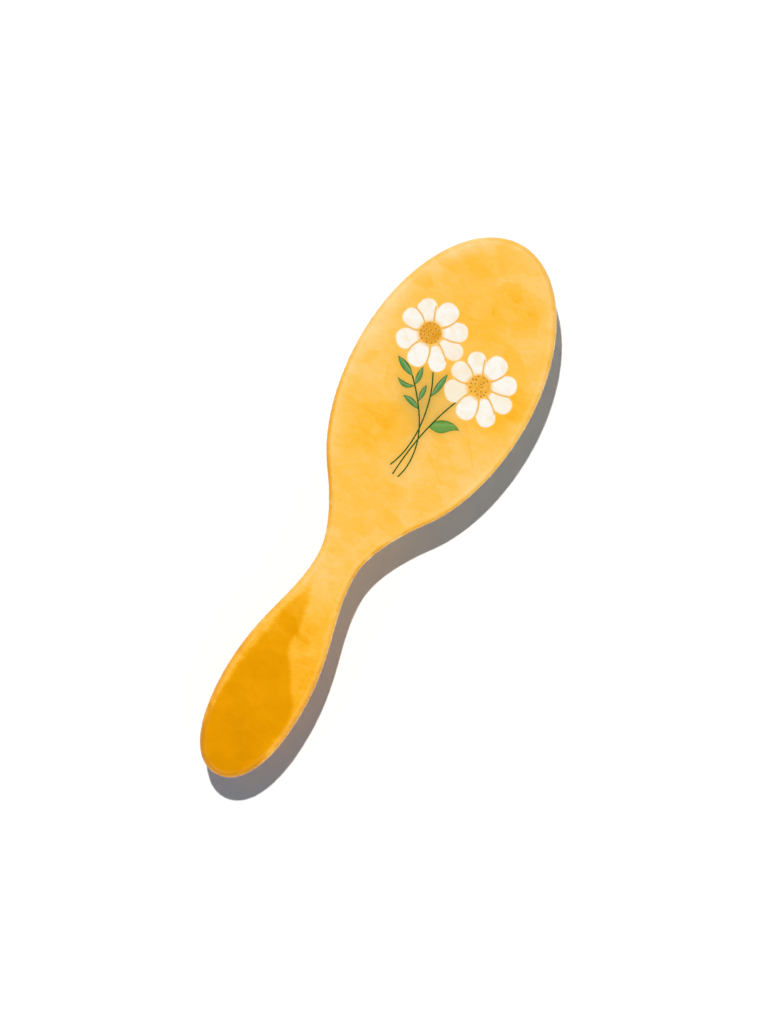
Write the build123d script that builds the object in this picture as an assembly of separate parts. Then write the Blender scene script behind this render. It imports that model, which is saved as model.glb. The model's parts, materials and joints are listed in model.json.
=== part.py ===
from build123d import *
import math
import os

# A hairbrush with a slab back and handle in one piece, an air cushion of ball-tipped pins
# let into the front of its head, and a spray of two enamelled daisies let into its back.
# Millimetres. The back faces +Z, the head points to +Y, and x = 0 is the middle line.
# The pin tips stand on z = 0, and y = 0 is half way along the brush.

# Slab outline, from the tip of the head to the butt of the handle
overall_length = 225.0
head_width = 69.6
crown_length = 58.3          # tip of the head to its widest place
jaw_length = 61.0            # the oval below the widest place, if it closed
shoulder_drop = 48.2         # widest place to where the oval turns into the neck
neck_drop = 78.5             # widest place to the narrowest place
neck_width = 16.0
grip_width = 32.7
grip_from_butt = 35.0        # butt to the widest place of the handle
shoulder_pull = 0.43         # how far each curve holds its end's direction, as a share of its span
throat_pull = 0.30
neck_pull = 0.32
grip_pull = 0.46
butt_fullness = 0.62

# Slab section
slab_thickness = 9.5
back_edge_radius = 3.0
front_edge_radius = 2.0
pocket_web = 3.5             # slab left behind the cushion
pocket_margin = 7.3          # slab left beside the cushion at the head's widest place
pocket_from_tip = 9.5
pocket_from_neck = 27.3      # pocket to the neck's narrowest place
groove_from_front = 1.9      # undercut that holds the cushion's bead
groove_width = 2.0
groove_reach = 1.5

# Cushion
cushion_fit = 0.12           # gap all round between rubber and slab
cushion_wall = 1.6
dome_height = 5.5
bead_reach = 1.3
vent_diameter = 1.8
pin_hole_fit = 0.2           # gap all round a pin in its hole

# Pins
pin_reach = 17.0             # free length of a pin in the middle of the dome
pin_root_radius = 0.60
pin_end_radius = 0.50
ball_radius = 0.95
foot_radius = 1.5
foot_thickness = 0.8
foot_gap = 0.75              # foot to the inside of the dome
outer_row_inset = 4.0        # pocket's edge to the outermost row
inner_row_half_width = 4.0
row_names = ["outer", "second", "third", "inner"]
pin_spacing = 6.8
outer_tilt = 6.0             # degrees that the outermost pins lean out

# Artwork on the back: x from the middle line, y from the head's widest place
artwork_width = 53.4         # width over the two daisies as drawn
artwork_margin = 8.1         # bare slab left beside them
inlay_depth = 0.7
inlay_sink = 0.06            # enamel below the slab's face
seed_depth = 0.4
disc_radius = 4.2
seed_radius = 0.33
petal_root_half_width = 1.4
petal_root_depth = 0.5       # how far the petal's root end is rounded
petal_widest = 0.66          # share of the petal's length
petal_shoulder = 0.72        # share of the half width left near the rounded end
rib_width = 0.5
stem_width = 0.52
daisy_centres = {"upper": (-13.0, 13.3), "lower": (12.4, 5.3)}
# direction in degrees, root and reach from the middle of the disc, and width
daisy_petals = [
    (78, 4.0, 13.6, 7.8), (31, 3.9, 13.9, 7.4), (-8, 4.8, 14.4, 6.8), (-47, 4.7, 14.6, 6.6),
    (-89, 4.0, 13.6, 7.3), (-138, 3.7, 12.9, 7.6), (169, 3.8, 12.4, 6.7), (125, 3.8, 12.9, 6.8),
]
odd_petals = {("lower", 4): (-48, 4.4, 15.3, 7.2), ("lower", 6): (-140, 4.2, 12.9, 8.6)}
side_lobes = {("upper", 8): (-7.5, 6.9, 1.8)}    # place from the disc, and radius
# places of the seeds from the middle of the disc
daisy_seeds = {
    "upper": [
        (-2.0, 3.1), (-0.3, 3.5), (-3.3, 0.8), (-2.0, 0.5), (-0.4, 1.1), (1.0, 0.2),
        (-2.3, -0.6), (-3.4, -0.9), (3.3, -0.4), (-1.6, -1.5), (-0.1, -1.1), (-2.9, -2.2),
        (-0.2, -2.4), (3.2, -1.8), (-1.7, -3.2), (2.2, -2.9), (0.4, -3.5), (2.2, 2.4), (0.9, 2.4),
    ],
    "lower": [
        (-2.0, 3.1), (-0.1, 3.5), (1.8, 3.1), (0.8, 2.0), (-3.2, 1.1), (-2.1, 1.6),
        (-1.7, 0.1), (0.2, 1.0), (1.1, 0.2), (3.2, -0.6), (1.5, -1.4), (-2.7, -1.9),
        (-0.4, -2.3), (3.2, -1.9), (-1.7, -2.9), (0.9, -2.9), (2.4, -2.9), (-3.1, -0.4),
    ],
}
# each rib's curve from the disc outwards, from the middle of the disc
daisy_ribs = [
    [(-1.0, 4.2), (-2.6, 8.3), (-3.0, 9.5)], [(2.7, 3.4), (5.4, 6.9), (6.3, 9.2)],
    [(4.3, 0.8), (8.0, 1.1), (11.2, 2.2)], [(4.1, -1.7), (7.5, -3.7), (10.0, -6.0)],
    [(2.2, -3.8), (3.7, -7.5), (4.1, -9.7)], [(-2.0, -3.9), (-3.5, -7.5), (-4.0, -9.5)],
    [(-4.2, -1.3), (-7.0, -2.0), (-9.0, -1.9)], [(-3.7, 2.2), (-7.0, 4.7), (-9.5, 5.4)],
]
stem_routes = [
    [(-10.8, -3.6), (-5.0, -10.0), (0.0, -17.2), (2.5, -22.5), (3.9, -28.2), (4.2, -32.2), (3.2, -38.3)],
    [(-4.8, 1.1), (-1.5, -6.4), (0.4, -14.2), (1.1, -21.2), (0.7, -28.2), (-1.4, -35.7)],
    [(7.9, -4.0), (4.8, -13.2), (3.0, -20.7), (1.7, -29.2), (1.0, -38.3)],
]
# base, tip, and the points that each edge passes through
leaf_outlines = {
    "leaf_spray_1": ((-10.6, -3.7), (-19.1, 0.2), [(-14.6, -0.4)], [(-15.4, -3.0)]),
    "leaf_spray_2": ((-8.3, -6.0), (-9.1, 1.3), [(-9.7, -2.1)], [(-7.6, -2.2)]),
    "leaf_spray_3": ((-8.0, -6.2), (-15.3, -6.7), [(-11.6, -6.9)], [(-11.6, -8.7)]),
    "leaf_spray_4": ((-4.2, -10.6), (-4.6, -3.9), [(-5.4, -7.4)], [(-3.5, -7.2)]),
    "leaf_spray_5": ((-2.6, -13.2), (-10.2, -11.4), [(-6.2, -10.8)], [(-6.0, -13.1)]),
    "leaf_upright": ((-1.1, -7.0), (0.1, 3.4), [(-1.5, -1.6)], [(0.8, -1.4)]),
    "leaf_broad": (
        (3.9, -17.0), (14.2, -12.55),
        [(4.8, -13.9), (7.5, -12.0), (11.0, -11.35)],
        [(6.0, -17.25), (8.4, -16.9), (11.2, -14.5)],
    ),
}

# Places worked out from the sizes above
front_z = pin_reach + dome_height
back_z = front_z + slab_thickness
tip_y = overall_length / 2
widest_y = tip_y - crown_length
head_half = head_width / 2
pocket_half_width = head_half - pocket_margin
pocket_half_length = (crown_length + neck_drop - pocket_from_tip - pocket_from_neck) / 2
pocket_y = tip_y - pocket_from_tip - pocket_half_length
pocket_depth = slab_thickness - pocket_web
skirt_half_width = pocket_half_width - cushion_fit
skirt_half_length = pocket_half_length - cushion_fit
inner_half_width = skirt_half_width - cushion_wall
inner_half_length = skirt_half_length - cushion_wall
outer_row_half_width = pocket_half_width - outer_row_inset
outer_row_half_length = pocket_half_length - outer_row_inset - foot_thickness
row_pitch = (outer_row_half_width - inner_row_half_width) / (len(row_names) - 1)
artwork_scale = (head_width - 2 * artwork_margin) / artwork_width
inlay_top = back_z - inlay_sink


def slab_outline():
    """One half of the outline runs from the tip to the butt, and its mirror closes it."""
    shoulder_y = widest_y - shoulder_drop
    neck_y = widest_y - neck_drop
    grip_y = grip_from_butt - overall_length / 2
    butt_y = -overall_length / 2
    shoulder_angle = math.degrees(math.asin(shoulder_drop / jaw_length))
    crown = EllipticalCenterArc((0, widest_y), head_half, crown_length, 0, arc_size=90)
    jaw = EllipticalCenterArc((0, widest_y), head_half, jaw_length, -shoulder_angle, arc_size=shoulder_angle)
    shoulder = jaw @ 0
    leaving = (jaw % 0) * -1
    throat_span = shoulder_y - neck_y
    throat = Bezier(
        shoulder,
        shoulder + leaving * throat_span * shoulder_pull,
        (neck_width / 2, neck_y + throat_span * throat_pull),
        (neck_width / 2, neck_y),
    )
    handle_span = neck_y - grip_y
    handle = Bezier(
        (neck_width / 2, neck_y),
        (neck_width / 2, neck_y - handle_span * neck_pull),
        (grip_width / 2, grip_y + handle_span * grip_pull),
        (grip_width / 2, grip_y),
    )
    butt = Bezier(
        (grip_width / 2, grip_y),
        (grip_width / 2, grip_y - grip_from_butt * butt_fullness),
        (grip_width / 2 * butt_fullness, butt_y),
        (0, butt_y),
    )
    half = [crown, jaw, throat, handle, butt]
    return make_face(half + [mirror(edge, Plane.YZ) for edge in half])


def oval_plate(half_width, half_length, low_z, high_z):
    """An upright oval block on the middle of the cushion's pocket."""
    oval = Pos(0, pocket_y, low_z) * Ellipse(half_width, half_length)
    return extrude(oval, high_z - low_z)


def half_dome(half_width, half_length, height):
    """The lower half of an ellipsoid whose rim lies on the slab's front face."""
    ball = scale(Sphere(1), by=(half_width, half_length, height))
    below = Pos(0, 0, -height) * Box(2 * half_width + 2, 2 * half_length + 2, 2 * height)
    return Pos(0, pocket_y, front_z) * (ball & below)


def make_slab(inlays):
    """The slab with its rounded rims, the cushion's pocket and groove, and the engraving."""
    slab = extrude(Pos(0, 0, front_z) * slab_outline(), slab_thickness)
    slab = fillet(slab.edges().group_by(Axis.Z)[-1], back_edge_radius)
    slab = fillet(slab.edges().group_by(Axis.Z)[0], front_edge_radius)
    groove_z = front_z + groove_from_front
    slab -= oval_plate(pocket_half_width, pocket_half_length, front_z, front_z + pocket_depth)
    slab -= oval_plate(
        pocket_half_width + groove_reach,
        pocket_half_length + groove_reach,
        groove_z,
        groove_z + groove_width,
    )
    return slab - inlays


def row_ring(row):
    """The oval that a row of pins stands on, at the height of the front face."""
    inset = row * row_pitch
    half_width = outer_row_half_width - inset
    half_length = outer_row_half_length - inset
    return EllipticalCenterArc((0, pocket_y, front_z), half_width, half_length, 0, arc_size=360)


def dome_depth(x, y, half_width, half_length, height):
    """Depth of a dome below the front face at a place on it."""
    share = (x / half_width) ** 2 + ((y - pocket_y) / half_length) ** 2
    return height * math.sqrt(1 - share)


def pin_places(row):
    """Seat of each pin in a row: a plane at its foot, with its z axis along the pin, upwards."""
    ring = row_ring(row)
    count = 2 * round(ring.length / pin_spacing / 2)
    lean = outer_tilt * (outer_row_half_width - row * row_pitch) / outer_row_half_width
    places = []
    for number in range(count):
        share = (number + 0.5) / count
        spot = ring @ share
        along = ring % share
        outwards = Vector(along.Y, -along.X, 0)
        inner_depth = dome_depth(
            spot.X, spot.Y, inner_half_width, inner_half_length, dome_height - cushion_wall
        )
        seat = Vector(spot.X, spot.Y, front_z - inner_depth + foot_gap)
        axis = Vector(0, 0, 1) * math.cos(math.radians(lean)) - outwards * math.sin(math.radians(lean))
        places.append(Plane(origin=seat, x_dir=along, z_dir=axis))
    return places


def make_pin(seat):
    """One pin on its seat: a foot, a tapered shaft and a ball that touches z = 0."""
    length = (seat.origin.Z - ball_radius) / seat.z_dir.Z
    joint = length - math.sqrt(ball_radius**2 - pin_end_radius**2)
    profile = Polyline(
        (0, -length - ball_radius),
        (0, foot_thickness),
        (foot_radius, foot_thickness),
        (foot_radius, 0),
        (pin_root_radius, 0),
        (pin_end_radius, -joint),
    )
    ball = ThreePointArc(
        (pin_end_radius, -joint),
        (ball_radius, -length),
        (0, -length - ball_radius),
    )
    section = Plane.XZ * make_face([profile, ball])
    return seat * revolve(section, Axis.Z)


def make_pin_row(row):
    """All the pins of one oval row."""
    return Compound([make_pin(seat) for seat in pin_places(row)])


def make_cushion():
    """Domed rubber cushion: skirt, bead, pin holes and a vent, hollow and open at the back."""
    bead_low = front_z + groove_from_front + cushion_fit
    bead_high = bead_low + groove_width - 2 * cushion_fit
    cushion = half_dome(skirt_half_width, skirt_half_length, dome_height)
    cushion += oval_plate(skirt_half_width, skirt_half_length, front_z, bead_high)
    cushion += oval_plate(
        skirt_half_width + bead_reach, skirt_half_length + bead_reach, bead_low, bead_high
    )
    cushion -= half_dome(inner_half_width, inner_half_length, dome_height - cushion_wall)
    cushion -= oval_plate(inner_half_width, inner_half_length, front_z, bead_high)
    drills = []
    hole_radius = pin_root_radius + pin_hole_fit
    for row in range(len(row_names)):
        for seat in pin_places(row):
            drills.append(seat * Pos(0, 0, -dome_height) * Cylinder(hole_radius, 2 * dome_height))
    vent_y = row_ring(len(row_names) - 1).bounding_box().min.Y - row_pitch / 2
    drills.append(Pos(0, vent_y, front_z - dome_height) * Cylinder(vent_diameter / 2, 2 * dome_height))
    return cushion - drills


def on_back(shape):
    """Artwork drawn about the head's widest place, at its size on the back of the head."""
    return Pos(0, widest_y) * scale(shape, by=artwork_scale, about=(0, 0, 0))


def line_face(points, width):
    """A line of even width with round ends along a smooth curve."""
    middle = Spline(*points)
    half = width / 2
    steps = 2 * len(points)
    stations = [step / steps for step in range(steps + 1)]
    left = Spline(*[middle @ place + (middle % place).rotate(Axis.Z, 90) * half for place in stations])
    right = Spline(*[middle @ place - (middle % place).rotate(Axis.Z, 90) * half for place in stations])
    start_cap = ThreePointArc(left @ 0, middle @ 0 - (middle % 0) * half, right @ 0)
    end_cap = ThreePointArc(left @ 1, middle @ 1 + (middle % 1) * half, right @ 1)
    return make_face([left, end_cap, right, start_cap])


def petal_face(angle, root, reach, width):
    """An egg-shaped petal that lies along +X before it turns about the middle of the disc."""
    widest = root + (reach - root) * petal_widest
    near_end = widest + (reach - widest) * petal_shoulder
    half = width / 2
    side = [
        (root + petal_root_depth, petal_root_half_width),
        (widest, half),
        (near_end, half * petal_shoulder),
    ]
    other_side = [(x, -y) for x, y in reversed(side)]
    edge = Spline((root, 0), *side, (reach, 0), *other_side, periodic=True)
    return Rot(0, 0, angle) * make_face(edge)


def leaf_face(base, tip, one_side, other_side):
    """A leaf between two smooth edges that share a base and a tip."""
    return make_face([Spline(base, *one_side, tip), Spline(base, *other_side, tip)])


def inlay(face, top=inlay_top, depth=inlay_depth):
    """Enamel that fills an engraved recess down from its top."""
    return extrude(Pos(0, 0, top - depth) * on_back(face), depth)


def artwork_faces():
    """Every enamel piece's outline. Where two meet, the later one gives way, and a petal
    keeps the side of a rib that its tip is on."""
    faces = {}
    stems = Sketch() + [line_face(route, stem_width) for route in stem_routes]
    for flower, (centre_x, centre_y) in daisy_centres.items():
        place = Pos(centre_x, centre_y)
        disc = place * Circle(disc_radius)
        ribs = Sketch() + [place * line_face(rib, rib_width) for rib in daisy_ribs]
        ribs -= disc
        petals = []
        faces[f"{flower}_daisy_disc"] = disc
        faces[f"{flower}_daisy_ribs"] = ribs
        for number, usual in enumerate(daisy_petals, 1):
            petal = petal_face(*odd_petals.get((flower, number), usual))
            if (flower, number) in side_lobes:
                lobe_x, lobe_y, lobe_radius = side_lobes[flower, number]
                petal += Pos(lobe_x, lobe_y) * Circle(lobe_radius)
            petal = place * petal - [disc, ribs, *petals]
            petals.append(petal.faces().sort_by(SortBy.AREA)[-1])
            faces[f"{flower}_daisy_petal_{number}"] = petals[-1]
        stems -= petals
    faces["stems"] = stems
    for name, outline in leaf_outlines.items():
        faces[name] = leaf_face(*outline) - stems
    return faces


def make_inlays():
    """The enamel pieces as solids, with the seeds set into the discs."""
    inlays = {name: inlay(face) for name, face in artwork_faces().items()}
    for flower, (centre_x, centre_y) in daisy_centres.items():
        seeds = []
        for seed_x, seed_y in daisy_seeds[flower]:
            seed = Pos(centre_x + seed_x, centre_y + seed_y) * Circle(seed_radius)
            seeds.append(inlay(seed, depth=seed_depth))
        inlays[f"{flower}_daisy_disc"] -= seeds
        inlays[f"{flower}_daisy_seeds"] = Compound(seeds)
    return inlays


def engraving(inlays):
    """The recesses that the enamel fills, open through the slab's face."""
    cutters = []
    for face in artwork_faces().values():
        cutters.append(inlay(face, top=back_z, depth=inlay_depth + inlay_sink))
    return cutters


os.makedirs("parts", exist_ok=True)
inlays = make_inlays()
parts = {"slab": make_slab(engraving(inlays)), "cushion": make_cushion()}
for row, row_name in enumerate(row_names):
    parts[f"{row_name}_pin_row"] = make_pin_row(row)
parts.update(inlays)
for name, solid in parts.items():
    export_step(solid, f"parts/{name}.step")
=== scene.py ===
import json
import math

import bpy
import numpy as np
from mathutils import Matrix, Vector
from mathutils.bvhtree import BVHTree

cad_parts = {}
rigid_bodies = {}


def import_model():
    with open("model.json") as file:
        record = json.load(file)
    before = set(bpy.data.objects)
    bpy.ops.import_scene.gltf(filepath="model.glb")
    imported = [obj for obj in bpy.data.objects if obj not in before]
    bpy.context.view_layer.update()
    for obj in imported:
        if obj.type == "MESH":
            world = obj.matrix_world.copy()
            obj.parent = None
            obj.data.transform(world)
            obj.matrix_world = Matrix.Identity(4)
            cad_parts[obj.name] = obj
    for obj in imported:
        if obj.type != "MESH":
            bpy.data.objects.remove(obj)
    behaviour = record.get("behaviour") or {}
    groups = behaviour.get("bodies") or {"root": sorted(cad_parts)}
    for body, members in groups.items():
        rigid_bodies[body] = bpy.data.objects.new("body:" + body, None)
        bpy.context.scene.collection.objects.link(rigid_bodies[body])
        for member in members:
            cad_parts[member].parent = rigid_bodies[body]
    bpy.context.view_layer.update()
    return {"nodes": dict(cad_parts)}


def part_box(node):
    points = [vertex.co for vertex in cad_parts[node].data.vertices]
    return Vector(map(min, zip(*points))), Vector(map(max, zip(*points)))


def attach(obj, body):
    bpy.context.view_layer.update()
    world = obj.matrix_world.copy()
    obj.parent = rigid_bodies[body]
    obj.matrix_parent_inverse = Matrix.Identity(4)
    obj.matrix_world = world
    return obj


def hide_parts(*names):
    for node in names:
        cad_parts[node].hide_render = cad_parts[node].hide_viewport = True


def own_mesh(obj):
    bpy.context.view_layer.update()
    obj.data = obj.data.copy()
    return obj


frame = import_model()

mm = 0.001


def deselectAll():
    if bpy.context.object and bpy.context.object.mode != "OBJECT":
        bpy.ops.object.mode_set(mode="OBJECT")
    for o in bpy.context.view_layer.objects:
        o.select_set(False)


def pick(piece):
    deselectAll()
    bpy.context.view_layer.objects.active = piece
    piece.select_set(True)


def editAll(piece):
    pick(piece)
    bpy.ops.object.mode_set(mode="EDIT")
    bpy.ops.mesh.select_mode(type="FACE")
    bpy.ops.mesh.select_all(action="SELECT")


def editFaces(piece, wanted):
    # edit mode with only the faces that wanted(centre, normal) likes
    pick(piece)
    bpy.ops.object.mode_set(mode="EDIT")
    bpy.ops.mesh.select_mode(type="FACE")
    bpy.ops.mesh.select_all(action="DESELECT")
    bpy.ops.object.mode_set(mode="OBJECT")
    for face in piece.data.polygons:
        face.select = wanted(face.center, face.normal)
    bpy.ops.object.mode_set(mode="EDIT")


def facesAt(top):
    # a test for the faces that lie level at a height
    return lambda centre, normal: normal.z > 0.999 and centre.z > top - 0.01 * mm


def objectMode():
    bpy.ops.object.mode_set(mode="OBJECT")


def joined(name, parts):
    # several meshes as one piece
    deselectAll()
    for part in parts:
        part.select_set(True)
    bpy.context.view_layer.objects.active = parts[0]
    if len(parts) > 1:
        bpy.ops.object.join()
    piece = bpy.context.view_layer.objects.active
    piece.name = name
    piece.data.name = name
    return piece


def placedCopy(name, model, place):
    # a copy of a model with its place in its mesh
    mesh = model.data.copy()
    mesh.transform(place)
    copied = bpy.data.objects.new(name, mesh)
    bpy.context.scene.collection.objects.link(copied)
    return copied


def mergedCopy(name, nodeName):
    # a copy of a node of the frame, its loose triangles joined up
    piece = placedCopy(name, frame["nodes"][nodeName], Matrix())
    piece.data.name = name
    pick(piece)
    if piece.data.has_custom_normals:
        bpy.ops.mesh.customdata_custom_splitnormals_clear()
    editAll(piece)
    bpy.ops.mesh.remove_doubles(threshold=2e-6)
    objectMode()
    return piece


def places(piece):
    spots = np.empty(len(piece.data.vertices) * 3)
    piece.data.vertices.foreach_get("co", spots)
    return spots.reshape(-1, 3)


def writeField(piece, name, values):
    field = piece.data.attributes.new(name, "FLOAT", "POINT")
    field.data.foreach_set("value", np.asarray(values, np.float32))


def faceTree(*nodeNames, keep=None):
    # the nodes' faces as one tree, for distances
    corners, faces = [], []
    for nodeName in nodeNames:
        mesh = frame["nodes"][nodeName].data
        first = len(corners)
        corners += [v.co.copy() for v in mesh.vertices]
        for face in mesh.polygons:
            if keep is None or keep([corners[first + i] for i in face.vertices]):
                faces.append([first + i for i in face.vertices])
    return BVHTree.FromPolygons(corners, faces)


def dissolveFlats():
    # the faces in view that lie in one plane become one face
    bpy.ops.mesh.dissolve_limited(angle_limit=math.radians(0.2))


def cutGrid(step, low, high):
    # cuts the faces in view along lines a step apart, both ways
    for axis in (0, 1):
        normal = [0, 0, 0]
        normal[axis] = 1
        count = int((high[axis] - low[axis]) / step)
        for line in range(1, count + 1):
            spot = [0, 0, 0]
            spot[axis] = low[axis] + line * step
            bpy.ops.mesh.select_all(action="SELECT")
            bpy.ops.mesh.bisect(plane_co=spot, plane_no=normal)


def smoothShade(piece, degrees):
    pick(piece)
    bpy.ops.object.shade_smooth_by_angle(angle=math.radians(degrees))


def flattened(piece):
    # flat faces keep their own direction, so that only the rounded edges bend the light
    weights = piece.modifiers.new("weights", "WEIGHTED_NORMAL")
    weights.keep_sharp = True
    pick(piece)
    bpy.ops.object.modifier_apply(modifier="weights")


def smoothStep(value, low, high):
    part = np.clip((value - low) / (high - low), 0, 1)
    return part * part * (3 - 2 * part)


def tint(red, green, blue):
    # a screen colour as the shader's linear one
    linear = []
    for part in (red, green, blue):
        part /= 255
        linear.append(part / 12.92 if part <= 0.04045 else ((part + 0.055) / 1.055) ** 2.4)
    return (*linear, 1)


class Wire:
    # a socket that can be used in sums
    def __init__(self, finish, socket):
        self.finish, self.socket = finish, socket

    def maths(self, operation, first, second):
        return self.finish.add("ShaderNodeMath", {"operation": operation}, {0: first, 1: second})

    def __add__(self, other):
        return self.maths("ADD", self, other)

    def __sub__(self, other):
        return self.maths("SUBTRACT", self, other)

    def __mul__(self, other):
        return self.maths("MULTIPLY", self, other)

    def __truediv__(self, other):
        return self.maths("DIVIDE", self, other)

    def __rsub__(self, other):
        return self.maths("SUBTRACT", other, self)

    __radd__ = __add__
    __rmul__ = __mul__


class Finish:
    # one material and the nodes in it
    def __init__(self, name, **fixed):
        self.material = bpy.data.materials.new(name)
        self.material.use_nodes = True
        self.tree = self.material.node_tree
        self.shader = self.tree.nodes["Principled BSDF"]
        for socket, value in fixed.items():
            self.shader.inputs[socket.replace("_", " ")].default_value = value
        self.spot = self.add("ShaderNodeTexCoord", {}, {}, "Object")

    def add(self, kind, settings, links, output=0):
        node = self.tree.nodes.new(kind)
        for key, value in settings.items():
            if key == "stops":
                ramp = node.color_ramp
                while len(ramp.elements) < len(value):
                    ramp.elements.new(0.5)
                for element, (place, colour) in zip(ramp.elements, value):
                    element.position, element.color = place, colour
            else:
                setattr(node, key, value)
        for key, value in links.items():
            if isinstance(value, Wire):
                self.tree.links.new(value.socket, node.inputs[key])
            else:
                node.inputs[key].default_value = value
        return Wire(self, node.outputs[output])

    def feed(self, socket, wire):
        self.tree.links.new(wire.socket, self.shader.inputs[socket])

    def mix(self, factor, first, second):
        return self.add("ShaderNodeMix", {"data_type": "RGBA"}, {0: factor, 6: first, 7: second}, 2)

    def field(self, name):
        return self.add("ShaderNodeAttribute", {"attribute_name": name}, {}, "Fac")

    def noise(self, size, detail=3, distortion=0, spot=None, roughness=0.5):
        # size is the pattern's, in millimetres
        return self.add("ShaderNodeTexNoise", {}, {
            "Vector": spot or self.spot, "Scale": 1 / (size * mm), "Detail": detail,
            "Roughness": roughness, "Distortion": distortion})

    def stretched(self, turn, scale):
        return self.add("ShaderNodeMapping", {}, {
            "Vector": self.spot, "Rotation": (0, 0, math.radians(turn)), "Scale": scale})

    def fade(self, value, low, high, first=0, second=1):
        return self.add("ShaderNodeMapRange", {"interpolation_type": "SMOOTHSTEP"}, {
            "Value": value, "From Min": low, "From Max": high, "To Min": first, "To Max": second})

    def ramp(self, value, stops):
        return self.add("ShaderNodeValToRGB", {"stops": stops}, {"Fac": value})

    def bump(self, height, depth, strength):
        # depth in millimetres
        self.feed("Normal", self.add("ShaderNodeBump", {}, {
            "Strength": strength, "Distance": depth * mm, "Height": height}))


def dress(piece, finish):
    piece.data.materials.clear()
    piece.data.materials.append(finish.material)


petalNames = [n for n in frame["nodes"] if "_petal_" in n]
discNames = [n for n in frame["nodes"] if n.endswith("_disc")]
leafNames = [n for n in frame["nodes"] if n.startswith("leaf_")]

slabPlan = {
    "gridStep": 2 * mm,          # lets the colour change along the slab
    "fineStep": 0.8 * mm,        # the same under the flowers
    "fineMargin": 7 * mm,
    "wallLow": 24.5 * mm,        # upright part of the rim
    "wallHigh": 29 * mm,
    "edgeSharp": 35,
    # painted highlights: paler tone near the rim over the head, more on its left
    "leftPale": 0.11, "rimPale": 0.05,                       # tone taken off near the rim
    # painted shade on the rounded rim: deeper amber added at the very edge
    "edgeDeep": 0.05, "edgeLowerLeft": 0.28, "edgeLowerRight": 0.22,   # tone added at the very edge
    # painted shade and green light seen through the slab, by and among the stems
    "contactShade": 0.4, "stemShade": 0.8,                   # olive shade by and among the stems
}

# tone of the marbling: x, y, reach in x, reach in y (mm), and how much deeper
tonePatches = [
    (-12, 98, 7, 5, 0.09), (7, 95, 8, 4, 0.07), (18, 89, 6, 5, 0.09), (0, 84, 16, 4, 0.03),
    (5, 77, 9, 6, 0.08), (26, 56, 6, 8, 0.15), (-14, 26, 8, 9, 0.15), (-9, 35, 6, 7, 0.06),
    (-19, 17, 5, 6, 0.10), (0, 10, 9, 7, 0.03), (16, 52, 6, 5, 0.05), (-26, 36, 5, 6, 0.04),
    (12, 28, 12, 9, -0.03), (-24, 52, 6, 17, -0.10), (-30, 66, 4, 14, -0.08),
    (0, -8, 9, 14, -0.02), (3, -32, 5, 7, -0.09),
    (29, 34, 4, 12, -0.07), (-21, 100, 7, 8, -0.08), (2, 108, 12, 3, -0.03),
    (24, 92, 5, 8, -0.05), (-20, 5, 4, 5, 0.05), (6, 18, 8, 6, -0.06),
    (-7, -53, 4, 9, -0.04), (2, -96, 9, 9, 0.06), (0, -109, 10, 4, 0.07), (4, -48, 4, 7, 0.04),
    (6, -62, 4, 6, -0.05), (10, -55, 2, 5, 0.03),
]
# tone along the slab, deeper towards the grip's end: partly the marbling's own tone, partly a painted
# reflection that leaves the head paler than the grip
baseTone = [(-113, 0.70), (-100, 0.66), (-60, 0.62), (-48, 0.56), (-40, 0.46), (-28, 0.36),
            (-10, 0.34), (15, 0.36), (60, 0.39), (100, 0.39), (113, 0.36)]
# fine creases in the marbling, each from x, y to x, y in mm
creases = [(14.5, 45.5, 25.5, 32.5), (7.5, 30, 12.5, 25.5), (12.5, 25.5, 19, 21), (2, 91, 3.5, 84),
           (14.8, 93, 16.5, 87), (-20.5, 50, -18, 43), (-3, -90.5, 1.5, -91.5), (1.5, -91.5, 5.5, -100),
           (-3.5, -26, -4.5, -34), (4, -63, 9, -60)]
# outline of the grip's deeper amber, a painted dark reflection where the gloss shows no soft box, clockwise
# from its tip
darkReflectionZone = [(-5.2, -31), (-3.6, -38), (-1.4, -36), (-0.6, -50), (-0.2, -60), (4.2, -64.5), (8.2, -71.5),
            (12.2, -76), (13.8, -86), (12.6, -98), (9.5, -112), (4, -120), (-5, -120), (-10, -110),
            (-13.2, -98), (-13.9, -86), (-12.9, -72), (-10.9, -60), (-9.3, -48), (-7.2, -41)]

print("slab: gridding the shell")
slabShell = mergedCopy("amberSlab", "slab")
slabLow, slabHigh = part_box("slab")
backFaces = facesAt(slabHigh.z)
editFaces(slabShell, backFaces)
dissolveFlats()
cutGrid(slabPlan["gridStep"], slabLow, slabHigh)
objectMode()

artLow = Vector((min(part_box(n)[0].x for n in petalNames + leafNames),
                 min(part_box(n)[0].y for n in ["stems"]))) - Vector((1, 1)) * slabPlan["fineMargin"]
artHigh = Vector((max(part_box(n)[1].x for n in petalNames),
                  max(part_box(n)[1].y for n in petalNames))) + Vector((1, 1)) * slabPlan["fineMargin"]
editFaces(slabShell, lambda c, n: (backFaces(c, n) and artLow.x < c.x < artHigh.x
                                   and artLow.y < c.y < artHigh.y))
bpy.ops.mesh.hide(unselected=True)
cutGrid(slabPlan["fineStep"], artLow, artHigh)
bpy.ops.mesh.reveal(select=False)
objectMode()
print("slab:", len(slabShell.data.polygons), "faces")

wallTree = faceTree("slab", keep=lambda corners: all(
    abs(c.z - slabPlan["wallLow"]) < 0.02 * mm or abs(c.z - slabPlan["wallHigh"]) < 0.02 * mm
    for c in corners) and max(c.z for c in corners) - min(c.z for c in corners) > mm)
petalTree = faceTree(*petalNames, *discNames)
greenTree = faceTree(*leafNames, "stems")


def gapTo(tree, spots, level, limit):
    # distance in mm from each spot to a tree, level with it, up to a limit in mm
    found = []
    for x, y, _ in spots:
        near = tree.find_nearest(Vector((x, y, level)), limit * mm)
        found.append(near[3] / mm if near[3] is not None else limit)
    return np.array(found)


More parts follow.
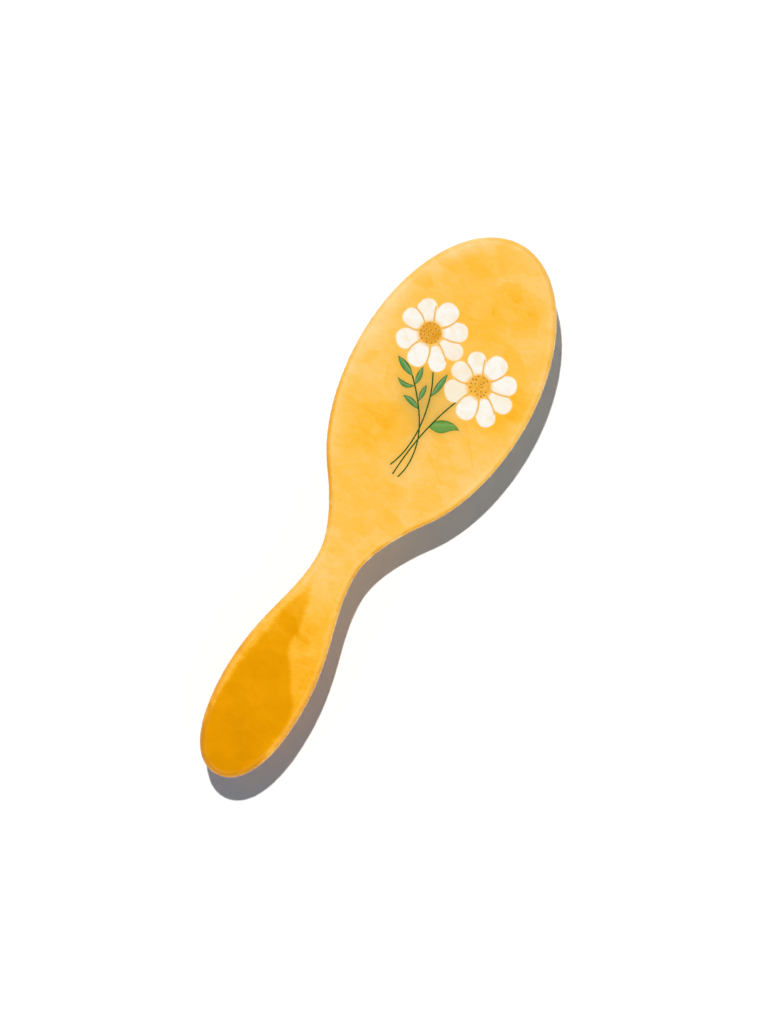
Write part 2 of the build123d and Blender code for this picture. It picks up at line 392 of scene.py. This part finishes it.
def lineGap(spots, ax, ay, bx, by):
    # distance in mm to a straight line between two points in mm
    x, y = spots[:, 0] / mm, spots[:, 1] / mm
    along = np.clip(((x - ax) * (bx - ax) + (y - ay) * (by - ay)) / ((bx - ax) ** 2 + (by - ay) ** 2), 0, 1)
    return np.hypot(x - ax - along * (bx - ax), y - ay - along * (by - ay))


def insideGap(spots, outline):
    # signed distance in mm to an outline in mm, above 0 inside it
    x, y = spots[:, 0] / mm, spots[:, 1] / mm
    nearest, inside = np.full(len(x), 1e9), np.zeros(len(x), bool)
    for (ax, ay), (bx, by) in zip(outline, outline[1:] + outline[:1]):
        nearest = np.minimum(nearest, lineGap(spots, ax, ay, bx, by))
        inside ^= ((ay > y) != (by > y)) & (x < (bx - ax) * (y - ay) / (by - ay + 1e-12) + ax)
    return np.where(inside, nearest, -nearest)


spots = places(slabShell)
rimGap = gapTo(wallTree, spots, 27 * mm, 60)
xs, ys = spots[:, 0] / mm, spots[:, 1] / mm
tone = np.interp(ys, *zip(*baseTone))
for x, y, reachX, reachY, deeper in tonePatches:
    away = ((xs - x) / reachX) ** 2 + ((ys - y) / reachY) ** 2
    tone += deeper * np.exp(-away ** 1.4)
# painted highlight: paler tone a few millimetres in from the rim, over the head and most on its left
headLeftHighlight = smoothStep(-xs, 2, 22) * smoothStep(ys, 25, 45)
tone -= slabPlan["leftPale"] * headLeftHighlight * (1 - smoothStep(rimGap, 2, 8))
tone -= slabPlan["rimPale"] * smoothStep(ys, 0, 25) * (1 - smoothStep(rimGap, 1, 7))
writeField(slabShell, "rimGap", rimGap)
writeField(slabShell, "tone", tone)
# painted shade: deeper amber at the very edge, more along the flanks of the lower head and neck
lowerLeft = smoothStep(-xs, 8, 15) * (1 - smoothStep(ys, 25, 62)) * smoothStep(ys, -16, -6)
lowerRight = smoothStep(xs, 2, 8) * (1 - smoothStep(ys, 22, 50)) * smoothStep(ys, -45, -20)
writeField(slabShell, "edgeTone", slabPlan["edgeDeep"] + slabPlan["edgeLowerLeft"] * lowerLeft
           + slabPlan["edgeLowerRight"] * lowerRight)
writeField(slabShell, "deepGap", insideGap(spots, darkReflectionZone))
writeField(slabShell, "creaseGap", np.min([lineGap(spots, *ends) for ends in creases], axis=0))
writeField(slabShell, "petalGap", gapTo(petalTree, spots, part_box(petalNames[0])[1].z, 12))
# painted shade and green light bled through the slab round the leaves and stems, strongest among the stems
greenGap = gapTo(greenTree, spots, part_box("stems")[1].z, 12)
amongStems = np.exp(-(((xs + 2) / 10) ** 2 + ((ys - 44) / 12) ** 2))
writeField(slabShell, "greenShade", slabPlan["contactShade"] * np.exp(-greenGap / 1.3)
           + slabPlan["stemShade"] * amongStems * np.exp(-greenGap / 6))
smoothShade(slabShell, slabPlan["edgeSharp"])
flattened(slabShell)

amber = Finish("amberAcetate", IOR=1.46, Specular_IOR_Level=0.3, Coat_Weight=0.08, Coat_Roughness=0.05)
cloud = amber.noise(15, 4, 0.6)
wisps = amber.noise(4.5, 4, 1.2, amber.stretched(35, (1, 2.2, 1)))
strokes = amber.noise(1.8, 3, 0.4, amber.stretched(-55, (1, 3, 1)), 0.6)


def flakes(size, smoothness, turn, wander):
    # pressed chips of acetate, each with its own tone
    bent = amber.add("ShaderNodeTexNoise", {}, {
        "Vector": amber.spot, "Scale": 1 / (size * mm), "Detail": 2}, "Color")
    bent = amber.add("ShaderNodeVectorMath", {"operation": "MULTIPLY_ADD"}, {
        0: bent, 1: (wander * mm,) * 3, 2: amber.stretched(turn, (1, 1.5, 1))})
    chips = amber.add("ShaderNodeTexVoronoi", {"feature": "SMOOTH_F1"}, {
        "Vector": bent, "Scale": 1 / (size * mm), "Smoothness": smoothness}, "Color")
    return amber.add("ShaderNodeSeparateColor", {}, {"Color": chips}, 0)


marbling = ((cloud - 0.5) * 0.30 + (wisps - 0.5) * 0.22 + (strokes - 0.5) * 0.13
            + (flakes(12, 0.1, 25, 7) - 0.5) * 0.13 + (flakes(4.5, 0.12, -40, 3) - 0.5) * 0.07)
deepGap = amber.field("deepGap")
# painted dark reflection: deeper, more saturated amber over most of the grip
darkReflection = amber.fade(deepGap + (cloud - 0.5) * 3.5 + (strokes - 0.5) * 1.6, -1.2, 1.2)
rim = amber.field("rimGap")
# painted highlight: a paler line about 2 mm in from the rim, and painted shade, slightly deeper amber, at
# the very edge
rimHighlightLine = amber.ramp(rim / 8, [(place, (grey, grey, grey, 1)) for place, grey in (
    (0, 0.58), (0.12, 0.57), (0.19, 0.54), (0.26, 0.43), (0.34, 0.48), (0.5, 0.5))])
crease = amber.fade(amber.field("creaseGap") + (strokes - 0.5) * 0.5, 0, 0.5, 0.14, 0)
# painted shade on the rounded rim, within about 1.6 mm of the edge
rimShade = amber.fade(rim, 0.5, 1.6, 1, 0) * amber.field("edgeTone")
tones = (amber.field("tone") + marbling * (1 - 0.45 * darkReflection) + (rimHighlightLine - 0.5) * 0.55
         + darkReflection * 0.24 + crease + rimShade)
colour = amber.ramp(tones, [
    (0, tint(255, 216, 146)), (0.18, tint(255, 204, 119)), (0.36, tint(254, 194, 85)),
    (0.5, tint(253, 187, 59)), (0.62, tint(249, 176, 35)), (0.8, tint(236, 158, 4)),
    (0.92, tint(227, 149, 0)), (1, tint(218, 143, 0))])
# painted olive shade and bled green light near the stems and leaves
shade = amber.field("greenShade") * (0.7 + 0.6 * wisps)
colour = amber.mix(shade, colour, tint(214, 172, 80))
glow = amber.fade(amber.field("petalGap"), 0, 0.6, 0.22, 0)
colour = amber.mix(glow, colour, tint(254, 214, 140))
amber.feed("Base Color", colour)
amber.feed("Roughness", 0.1 + wisps * 0.08)
amber.bump(cloud + wisps * 0.3, 0.05, 0.25)
dress(slabShell, amber)
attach(slabShell, "brush")
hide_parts("slab")


enamelPlan = {
    "step": 0.8 * mm, "discStep": 0.7 * mm, "fineStep": 0.5 * mm,
    "pillow": 0.9, "leafPillow": 0.6,    # how far in from its edge a piece rounds off, in mm
    "edgeDrop": 0.07,                    # how far its edge lies below the slab, in mm
    "sharp": 40,
    "leafSlice": 0.6 * mm, "slimLeaf": 0.2 * mm,   # a leaf's two sides are told apart slice by slice
}


def enamelPiece(name, nodeName, step, pillow=None):
    # a copy of an inlay whose top is cut up fine and rounds off towards its edge
    piece = mergedCopy(name, nodeName)
    low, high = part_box(nodeName)
    top = high.z
    editFaces(piece, facesAt(top))
    dissolveFlats()
    bpy.ops.mesh.hide(unselected=True)
    if step:
        cutGrid(step, low, high)
    bpy.ops.mesh.reveal(select=False)
    objectMode()
    walls = faceTree(nodeName, keep=lambda cs: max(c.z for c in cs) - min(c.z for c in cs) > 0.1 * mm)
    spots = places(piece)
    gap = gapTo(walls, spots, top, 5)
    writeField(piece, "edgeGap", gap)
    if pillow:
        onTop = spots[:, 2] > top - 0.01 * mm
        sink = (1 - np.clip(gap / pillow, 0, 1)) ** 2 * enamelPlan["edgeDrop"] * mm
        spots[onTop, 2] -= sink[onTop]
        piece.data.vertices.foreach_set("co", spots.ravel())
        piece.data.update()
    smoothShade(piece, enamelPlan["sharp"])
    return piece


def finishInlay(piece, finish, nodeName):
    dress(piece, finish)
    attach(piece, "brush")
    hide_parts(nodeName)


petalFinish = Finish("pearlEnamel", IOR=1.5, Coat_Weight=0.2, Coat_Roughness=0.05)
pearl = petalFinish.noise(4.5, 4, 1.0)
grainOfPearl = petalFinish.noise(1.4, 3, 0.5)
colour = petalFinish.mix(petalFinish.fade(pearl + (grainOfPearl - 0.5) * 0.3, 0.42, 0.72),
                         tint(255, 250, 238), tint(254, 237, 210))
colour = petalFinish.mix(petalFinish.field("cream"), colour, tint(254, 236, 200))
edge = petalFinish.fade(petalFinish.field("edgeGap"), 0, 0.55, 0.6, 0)
colour = petalFinish.mix(edge, colour, tint(252, 224, 170))
rootGlow = petalFinish.fade(petalFinish.field("rootGap") + (pearl - 0.5) * 1.5, 0.1, 1.5, 0.75, 0)
colour = petalFinish.mix(rootGlow, colour, tint(250, 205, 118))
petalFinish.feed("Base Color", colour)
petalFinish.feed("Roughness", 0.2 + pearl * 0.12)
petalFinish.bump(pearl, 0.04, 0.3)

creamPetals = {"lower_daisy_petal_6": 0.75, "lower_daisy_petal_3": 0.3, "lower_daisy_petal_7": 0.35,
               "upper_daisy_petal_8": 0.15, "upper_daisy_petal_3": 0.25}
for nodeName in petalNames:
    flower = nodeName.split("_")[0]
    discLow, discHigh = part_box(flower + "_daisy_disc")
    middle, discRadius = (discLow + discHigh) / 2, (discHigh.x - discLow.x) / 2
    petal = enamelPiece(flower + "Petal" + nodeName[-1], nodeName, enamelPlan["step"],
                        enamelPlan["pillow"])
    spots = places(petal)
    rootGap = np.hypot(spots[:, 0] - middle.x, spots[:, 1] - middle.y) - discRadius
    writeField(petal, "rootGap", rootGap / mm)
    writeField(petal, "cream", np.full(len(spots), creamPetals.get(nodeName, 0.0)))
    finishInlay(petal, petalFinish, nodeName)
print("petals:", len(petalNames))

discFinish = Finish("orangeEnamel", IOR=1.5, Coat_Weight=0.2, Coat_Roughness=0.05)
mottle = discFinish.noise(1.7, 4, 0.8)
colour = discFinish.mix(discFinish.fade(mottle, 0.3, 0.7), tint(252, 192, 74), tint(236, 162, 34))
colour = discFinish.mix(discFinish.field("deeper"), colour, tint(219, 140, 0))
edge = discFinish.fade(discFinish.field("edgeGap"), 0, 0.5, 0.5, 0)
colour = discFinish.mix(edge, colour, tint(250, 196, 96))
discFinish.feed("Base Color", colour)
discFinish.feed("Roughness", 0.22 + mottle * 0.15)
discFinish.bump(mottle, 0.06, 0.4)

seedFinish = Finish("brownEnamel", IOR=1.46, Coat_Weight=0.2)
speck = seedFinish.noise(0.5, 2)
seedFinish.feed("Base Color", seedFinish.mix(speck, tint(212, 130, 0), tint(188, 108, 0)))
seedFinish.feed("Roughness", 0.25 + speck * 0.15)

ribFinish = Finish("ribEnamel", IOR=1.46, Coat_Weight=0.2)
along = ribFinish.noise(2.5, 3, 0.5)
ribFinish.feed("Base Color", ribFinish.mix(along, tint(248, 196, 104), tint(236, 176, 78)))
ribFinish.feed("Roughness", 0.25 + along * 0.1)

for flower, deeper in (("upper", 0.55), ("lower", 0.0)):
    disc = enamelPiece(flower + "Disc", flower + "_daisy_disc", enamelPlan["discStep"])
    writeField(disc, "deeper", np.full(len(disc.data.vertices), deeper))
    finishInlay(disc, discFinish, flower + "_daisy_disc")
    seeds = enamelPiece(flower + "Seeds", flower + "_daisy_seeds", None)
    finishInlay(seeds, seedFinish, flower + "_daisy_seeds")
    ribs = enamelPiece(flower + "Ribs", flower + "_daisy_ribs", None)
    finishInlay(ribs, ribFinish, flower + "_daisy_ribs")

leafFinish = Finish("leafEnamel", IOR=1.5, Coat_Weight=0.2, Coat_Roughness=0.05)
wash = leafFinish.noise(2.6, 4, 0.8)
side = leafFinish.field("side") + (wash - 0.5) * 0.5
# painted shade and highlight across each leaf, as in a hollow lit from the upper left: a dark painted
# shadow along its upper-left edge, a painted highlight just inside it, darker again towards its lower-right
# edge
colour = leafFinish.ramp(side * 0.5 + 0.5, [
    (0, tint(54, 112, 50)), (0.16, tint(88, 146, 76)), (0.5, tint(100, 154, 84)),
    (0.7, tint(138, 174, 116)), (0.84, tint(68, 122, 58)), (1, tint(34, 82, 36))])
colour = leafFinish.mix(leafFinish.field("broad"), colour, tint(124, 168, 62))
edge = leafFinish.fade(leafFinish.field("edgeGap"), 0, 0.42, 0.6, 0)
colour = leafFinish.mix(edge, colour, tint(50, 98, 32))
leafFinish.feed("Base Color", colour)
leafFinish.feed("Roughness", 0.2 + wash * 0.12)
leafFinish.bump(wash, 0.05, 0.3)
for nodeName in leafNames:
    leafName = "leaf" + nodeName[5:].replace("_", "").capitalize()
    leaf = enamelPiece(leafName, nodeName, enamelPlan["fineStep"], enamelPlan["leafPillow"])
    spots = places(leaf)[:, :2]
    centred = spots - spots.mean(0)
    lengthwise = np.linalg.eigh(centred.T @ centred)[1][:, 1]
    crosswise = np.array([-lengthwise[1], lengthwise[0]])
    if crosswise @ (-0.5, 0.86) < 0:   # the shaded side is up and to the left
        crosswise = -crosswise
    offset = centred @ crosswise
    station = centred @ lengthwise
    edges = np.zeros(len(offset))
    for i, s in enumerate(station):
        near = np.abs(station - s) < enamelPlan["leafSlice"]
        low, high = offset[near].min(), offset[near].max()
        edges[i] = (2 * offset[i] - low - high) / max(high - low, enamelPlan["slimLeaf"])
    writeField(leaf, "side", edges)
    writeField(leaf, "broad", np.full(len(edges), 0.55 if nodeName == "leaf_broad" else 0.0))
    finishInlay(leaf, leafFinish, nodeName)

stemFinish = Finish("stemEnamel", IOR=1.46, Coat_Weight=0.2)
run = stemFinish.noise(4, 3, 0.5)
stemFinish.feed("Base Color", stemFinish.mix(run, tint(56, 104, 40), tint(38, 78, 26)))
stemFinish.feed("Roughness", 0.22 + run * 0.12)
stems = enamelPiece("flowerStems", "stems", None)
finishInlay(stems, stemFinish, "stems")
print("enamel: done")


pinPlan = {
    "around": 10,
    "ball": 0.95 * mm, "rootRadius": 0.6 * mm, "endRadius": 0.5 * mm,
    "footRadius": 1.45 * mm, "footThick": 0.8 * mm,
    "neckShare": 1.35,           # the shaft is this much stouter where it leaves the foot
    "sharp": 40,
    # heights in which a row's tips, balls and feet are found, and how far apart its pins stand at least
    "tipBand": 0.4 * mm, "ballBand": 1.9 * mm, "footBand": 1.1 * mm, "apart": 2.2 * mm,
}


def pinSpots(nodeName):
    # (top, ball centre) of every pin in a row of the frame
    spots = places(frame["nodes"][nodeName])
    tips = []
    for spot in spots[spots[:, 2] < pinPlan["tipBand"]]:
        if not any(np.hypot(*(spot[:2] - tip[:2])) < pinPlan["apart"] for tip in tips):
            tips.append(spot)
    tips = np.array(tips)
    owner = np.argmin(((spots[:, None, :2] - tips[None, :, :2]) ** 2).sum(2), axis=1)
    found = []
    for i in range(len(tips)):
        mine = spots[owner == i]
        topRing = mine[mine[:, 2] > mine[:, 2].max() - pinPlan["footBand"]]
        ball = mine[mine[:, 2] < pinPlan["ballBand"]]
        top = Vector(((topRing[:, 0].min() + topRing[:, 0].max()) / 2,
                      (topRing[:, 1].min() + topRing[:, 1].max()) / 2, mine[:, 2].max()))
        tip = Vector(((ball[:, 0].min() + ball[:, 0].max()) / 2,
                      (ball[:, 1].min() + ball[:, 1].max()) / 2, pinPlan["ball"]))
        found.append((top, tip))
    return found


def spunShape(name, profile, around):
    # a profile of (radius, height) points spun round the Z axis into a closed shape
    deselectAll()
    bpy.ops.mesh.primitive_plane_add(size=mm)
    shape = bpy.context.object
    shape.name = name
    bpy.ops.object.mode_set(mode="EDIT")
    bpy.ops.mesh.select_mode(type="VERT")
    bpy.ops.mesh.select_all(action="SELECT")
    bpy.ops.mesh.merge(type="CENTER")
    bpy.ops.transform.translate(value=(profile[0][0], 0, profile[0][1]))
    for (r0, z0), (r1, z1) in zip(profile, profile[1:]):
        bpy.ops.mesh.extrude_vertices_move(TRANSFORM_OT_translate={"value": (r1 - r0, 0, z1 - z0)})
    bpy.ops.mesh.select_all(action="SELECT")
    bpy.ops.mesh.spin(steps=around, angle=2 * math.pi, center=(0, 0, 0), axis=(0, 0, 1))
    bpy.ops.mesh.select_all(action="SELECT")
    bpy.ops.mesh.remove_doubles(threshold=1e-6)
    bpy.ops.mesh.normals_make_consistent(inside=False)
    objectMode()
    return shape


def pinProfile(length):
    # from the foot's top, at 0, down to the ball, whose middle is a length below
    ball, end = pinPlan["ball"], pinPlan["endRadius"]
    points = [(0, 0), (pinPlan["footRadius"], 0), (pinPlan["footRadius"], -pinPlan["footThick"]),
              (pinPlan["rootRadius"] * pinPlan["neckShare"], -pinPlan["footThick"] * 1.25),
              (pinPlan["rootRadius"], -pinPlan["footThick"] * 1.8),
              ((pinPlan["rootRadius"] + end) / 2, -length / 2)]
    for angle in (58, 35, 12, -12, -38, -64):
        turn = math.radians(angle)
        points.append((ball * math.cos(turn), -length + ball * math.sin(turn)))
    return points + [(0, -length - ball)]


def pinRow(name, nodeName):
    pins = pinSpots(nodeName)
    length = sum((top - tip).length for top, tip in pins) / len(pins)
    model = spunShape(name, pinProfile(length), pinPlan["around"])
    smoothShade(model, pinPlan["sharp"])
    copies = []
    for top, tip in pins:
        turned = (tip - top).to_track_quat("-Z", "Y").to_matrix().to_4x4()
        copies.append(placedCopy(
            name, model, Matrix.Translation(tip) @ turned @ Matrix.Translation((0, 0, length))))
    bpy.data.objects.remove(model)
    return joined(name, copies), pins


pinFinish = Finish("pinNylon", IOR=1.52)
cast = pinFinish.noise(3, 3)
height = pinFinish.add("ShaderNodeSeparateXYZ", {}, {"Vector": pinFinish.spot}, "Z")
tipTone = pinFinish.fade(height, 1.6 * mm, 2.1 * mm, 1, 0)
colour = pinFinish.mix(cast, tint(247, 240, 222), tint(238, 228, 205))
pinFinish.feed("Base Color", pinFinish.mix(tipTone * 0.7, colour, tint(246, 214, 150)))
pinFinish.feed("Roughness", 0.42 - tipTone * 0.2 + cast * 0.06)

rows = {}
for rowName in ("outer", "second", "third", "inner"):
    row, pins = pinRow(rowName + "Pins", rowName + "_pin_row")
    rows[rowName] = pins
    dress(row, pinFinish)
    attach(row, "brush" if rowName == "outer" else rowName + "_pins")
    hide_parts(rowName + "_pin_row")
    print("pins:", rowName, len(pins), "faces", len(row.data.polygons))


cushionPlan = {
    "around": 96, "rings": 40,
    "lip": 1.1 * mm,             # width of the lip in view round the dome
    "lipWide": 1.7 * mm,         # its whole width, partly over the dome
    "lipDepth": 2.6 * mm, "lipRound": 0.35 * mm, "lipProud": 0.25 * mm,
    "bead": 1.3 * mm,            # what the slab's groove hides all round
    "collarRadius": 1.0 * mm, "collarThick": 0.42 * mm, "collarSunk": 0.12 * mm,
    "ventRadius": 0.9 * mm, "ventSpot": (0, 24 * mm),
    "sharp": 35, "collarSharp": 80,
}
cushionLow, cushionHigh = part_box("cushion")
faceZ = slabLow.z                                  # the slab's front face
pocketMiddle = Vector((0, (cushionLow.y + cushionHigh.y) / 2, faceZ))
halfWide = (cushionHigh.x - cushionLow.x) / 2 - cushionPlan["bead"]
halfLong = (cushionHigh.y - cushionLow.y) / 2 - cushionPlan["bead"]
domeDepth = faceZ - cushionLow.z
domeWide, domeLong = halfWide - cushionPlan["lip"], halfLong - cushionPlan["lip"]

deselectAll()
bpy.ops.mesh.primitive_uv_sphere_add(segments=cushionPlan["around"], ring_count=cushionPlan["rings"],
                                     radius=1)
dome = bpy.context.object
dome.name = "cushionDome"
bpy.ops.object.mode_set(mode="EDIT")
bpy.ops.mesh.select_all(action="SELECT")
bpy.ops.mesh.bisect(plane_co=(0, 0, 0), plane_no=(0, 0, 1), clear_outer=True, use_fill=True)
bpy.ops.mesh.select_all(action="SELECT")
bpy.ops.transform.resize(value=(domeWide, domeLong, domeDepth), center_override=(0, 0, 0))
bpy.ops.transform.translate(value=pocketMiddle)
objectMode()


def domeSurface(x, y):
    # point and outward normal of the dome under a plan position
    u, v = (x - pocketMiddle.x) / domeWide, (y - pocketMiddle.y) / domeLong
    rise = math.sqrt(max(1e-6, 1 - u * u - v * v))
    normal = Vector((u / domeWide, v / domeLong, -rise / domeDepth)).normalized()
    return Vector((x, y, faceZ - domeDepth * rise)), normal


deselectAll()
bpy.ops.mesh.primitive_cylinder_add(vertices=20, radius=cushionPlan["ventRadius"], depth=6 * mm,
                                    location=(*cushionPlan["ventSpot"], cushionLow.z + mm))
drill = bpy.context.object
bore = dome.modifiers.new("vent", "BOOLEAN")
bore.object, bore.operation, bore.solver = drill, "DIFFERENCE", "EXACT"
pick(dome)
bpy.ops.object.modifier_apply(modifier="vent")
bpy.data.objects.remove(drill)
smoothShade(dome, cushionPlan["sharp"])

deselectAll()
bpy.ops.mesh.primitive_torus_add(major_segments=14, minor_segments=6,
                                 major_radius=cushionPlan["collarRadius"],
                                 minor_radius=cushionPlan["collarThick"])
collar = bpy.context.object
smoothShade(collar, cushionPlan["collarSharp"])


def collarAt(spot, normal):
    turned = normal.to_track_quat("Z", "Y").to_matrix().to_4x4()
    return placedCopy("collar", collar, Matrix.Translation(spot) @ turned)


collars = [dome]
for top, tip in [pin for pins in rows.values() for pin in pins]:
    spot = top                       # comes down to where the pin's middle line meets the dome
    for _ in range(4):
        surface, normal = domeSurface(spot.x, spot.y)
        spot = top.lerp(tip, (surface.z - top.z) / (tip.z - top.z))
    collars.append(collarAt(spot - normal * cushionPlan["collarSunk"], normal))
collars.append(collarAt(*domeSurface(*cushionPlan["ventSpot"])))
bpy.data.objects.remove(collar)
dome = joined("cushionDome", collars)

deselectAll()
bpy.ops.mesh.primitive_cylinder_add(vertices=cushionPlan["around"], radius=1, depth=1)
lip = bpy.context.object
lip.name = "cushionLip"
bpy.ops.object.mode_set(mode="EDIT")
bpy.ops.mesh.select_all(action="SELECT")
bpy.ops.transform.resize(value=(halfWide, halfLong, cushionPlan["lipDepth"]),
                         center_override=(0, 0, 0))
lipRise = cushionPlan["lipDepth"] / 2 - cushionPlan["lipProud"]
bpy.ops.transform.translate(value=pocketMiddle + Vector((0, 0, lipRise)))
editFaces(lip, lambda c, n: abs(n.z) > 0.9)
bpy.ops.mesh.inset(thickness=cushionPlan["lipWide"])
bpy.ops.mesh.bridge_edge_loops()     # opens the plate into a ring, so that the feet can rise in it
bpy.ops.mesh.select_all(action="SELECT")
bpy.ops.mesh.normals_make_consistent(inside=False)
objectMode()
rounding = lip.modifiers.new("round", "BEVEL")
rounding.width, rounding.segments, rounding.limit_method = cushionPlan["lipRound"], 3, "ANGLE"
pick(lip)
bpy.ops.object.modifier_apply(modifier="round")
smoothShade(lip, cushionPlan["sharp"])

rubber = Finish("ivoryRubber", IOR=1.5)
haze = rubber.noise(9, 4, 0.5)
stipple = rubber.noise(0.5, 2)
rubber.feed("Base Color", rubber.mix(haze, tint(240, 226, 198), tint(228, 210, 178)))
rubber.feed("Roughness", 0.45 + haze * 0.15)
rubber.bump(haze * 0.5 + stipple, 0.03, 0.4)
for part in (dome, lip):
    dress(part, rubber)
    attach(part, "brush")
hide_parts("cushion")
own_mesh(dome)
print("cushion: dome", len(dome.data.polygons), "faces")


stagePlan = {
    "floorSize": 12,
    "pictureHeight": 376.8 * mm,     # what the camera takes in along its long side
    "lookAt": (5.3 * mm, 1.98 * mm),
    "turn": 30.15,
    "lens": 400, "sensor": 36,
    "sunTravel": (0.228, -0.230, -1), "sunAngle": 1.2, "sunPower": 2.62,
    "sunColour": (1.13, 1.06, 1.02), "skyColour": (0.130, 0.196, 0.256),
    "fillTravel": (-0.69, 0.69, -0.12), "fillAngle": 15, "fillPower": 1.1,
    "overheadShare": 0.1,            # the sky is flagged dark straight above
}
deselectAll()
bpy.ops.mesh.primitive_plane_add(size=stagePlan["floorSize"])
floor = bpy.context.object
floor.name = "floor"
paper = Finish("whitePaper", Roughness=0.9, Specular_IOR_Level=0.1)
tooth = paper.noise(2, 2)
paper.feed("Base Color", paper.mix(tooth, tint(255, 255, 255), tint(253, 253, 253)))
dress(floor, paper)


def farLamp(name, power, angle, travel):
    # a lamp with no gloss of its own: the soft boxes below give that
    lamp = bpy.data.lights.new(name, "SUN")
    lamp.energy, lamp.angle = power, math.radians(angle)
    spot = bpy.data.objects.new(name, lamp)
    spot.rotation_euler = Vector(travel).to_track_quat("-Z", "Y").to_euler()
    spot.visible_glossy = False
    bpy.context.scene.collection.objects.link(spot)
    return spot


sunSpot = farLamp("sun", stagePlan["sunPower"], stagePlan["sunAngle"], stagePlan["sunTravel"])
sunSpot.data.color = stagePlan["sunColour"]
# a low lamp for the slab alone, so that its far edges don't go brown
fillSpot = farLamp("edgeFill", stagePlan["fillPower"], stagePlan["fillAngle"], stagePlan["fillTravel"])
slabAlone = bpy.data.collections.new("slabAlone")
slabAlone.objects.link(slabShell)
fillSpot.light_linking.receiver_collection = slabAlone

# soft boxes that only the gloss sees: place, size across and along, brightness
softBoxes = [((-0.9, 0.1, 0.62), 0.7, 1.3, 3), ((0.9, 0.0, 0.62), 0.7, 1.3, 3),
             ((0.0, 1.2, 0.8), 0.9, 0.6, 2.5), ((0.0, -1.2, 0.8), 0.9, 0.6, 2)]
for number, (place, across, lengthwise, power) in enumerate(softBoxes, 1):
    box = bpy.data.lights.new("softBox%d" % number, "AREA")
    box.shape, box.size, box.size_y, box.energy = "RECTANGLE", across, lengthwise, power
    boxSpot = bpy.data.objects.new("softBox%d" % number, box)
    boxSpot.location = place
    boxSpot.rotation_euler = (-Vector(place)).to_track_quat("-Z", "Y").to_euler()
    boxSpot.visible_diffuse = False
    boxSpot.visible_camera = False
    bpy.context.scene.collection.objects.link(boxSpot)

# the sky: dark right above the slab, and plain white where the camera looks past the floor
world = bpy.data.worlds.new("studio")
bpy.context.scene.world = world
world.use_nodes = True
sky = world.node_tree
ambient = sky.nodes["Background"]
ambient.inputs["Color"].default_value = (*stagePlan["skyColour"], 1)
heading = sky.nodes.new("ShaderNodeTexCoord")
upward = sky.nodes.new("ShaderNodeSeparateXYZ")
sky.links.new(heading.outputs["Generated"], upward.inputs[0])
flag = sky.nodes.new("ShaderNodeMapRange")
flag.inputs["From Min"].default_value, flag.inputs["From Max"].default_value = 0.9, 0.97
flag.inputs["To Min"].default_value, flag.inputs["To Max"].default_value = 1.1, stagePlan["overheadShare"]
sky.links.new(upward.outputs["Z"], flag.inputs["Value"])
sky.links.new(flag.outputs[0], ambient.inputs["Strength"])
backdrop = sky.nodes.new("ShaderNodeBackground")
backdrop.inputs["Color"].default_value = (1, 1, 1, 1)
rays = sky.nodes.new("ShaderNodeLightPath")
choice = sky.nodes.new("ShaderNodeMixShader")
sky.links.new(rays.outputs["Is Camera Ray"], choice.inputs[0])
sky.links.new(ambient.outputs[0], choice.inputs[1])
sky.links.new(backdrop.outputs[0], choice.inputs[2])
sky.links.new(choice.outputs[0], sky.nodes["World Output"].inputs[0])

bpy.context.scene.view_settings.view_transform = "Standard"
camera = bpy.data.cameras.new("camera")
camera.lens, camera.sensor_width = stagePlan["lens"], stagePlan["sensor"]
cameraSpot = bpy.data.objects.new("camera", camera)
distance = stagePlan["pictureHeight"] * stagePlan["lens"] / stagePlan["sensor"]
cameraSpot.location = (*stagePlan["lookAt"], slabHigh.z + distance)
cameraSpot.rotation_euler = (0, 0, math.radians(stagePlan["turn"]))
bpy.context.scene.collection.objects.link(cameraSpot)
bpy.context.scene.camera = cameraSpot
print("stage: floor, lamps and camera")
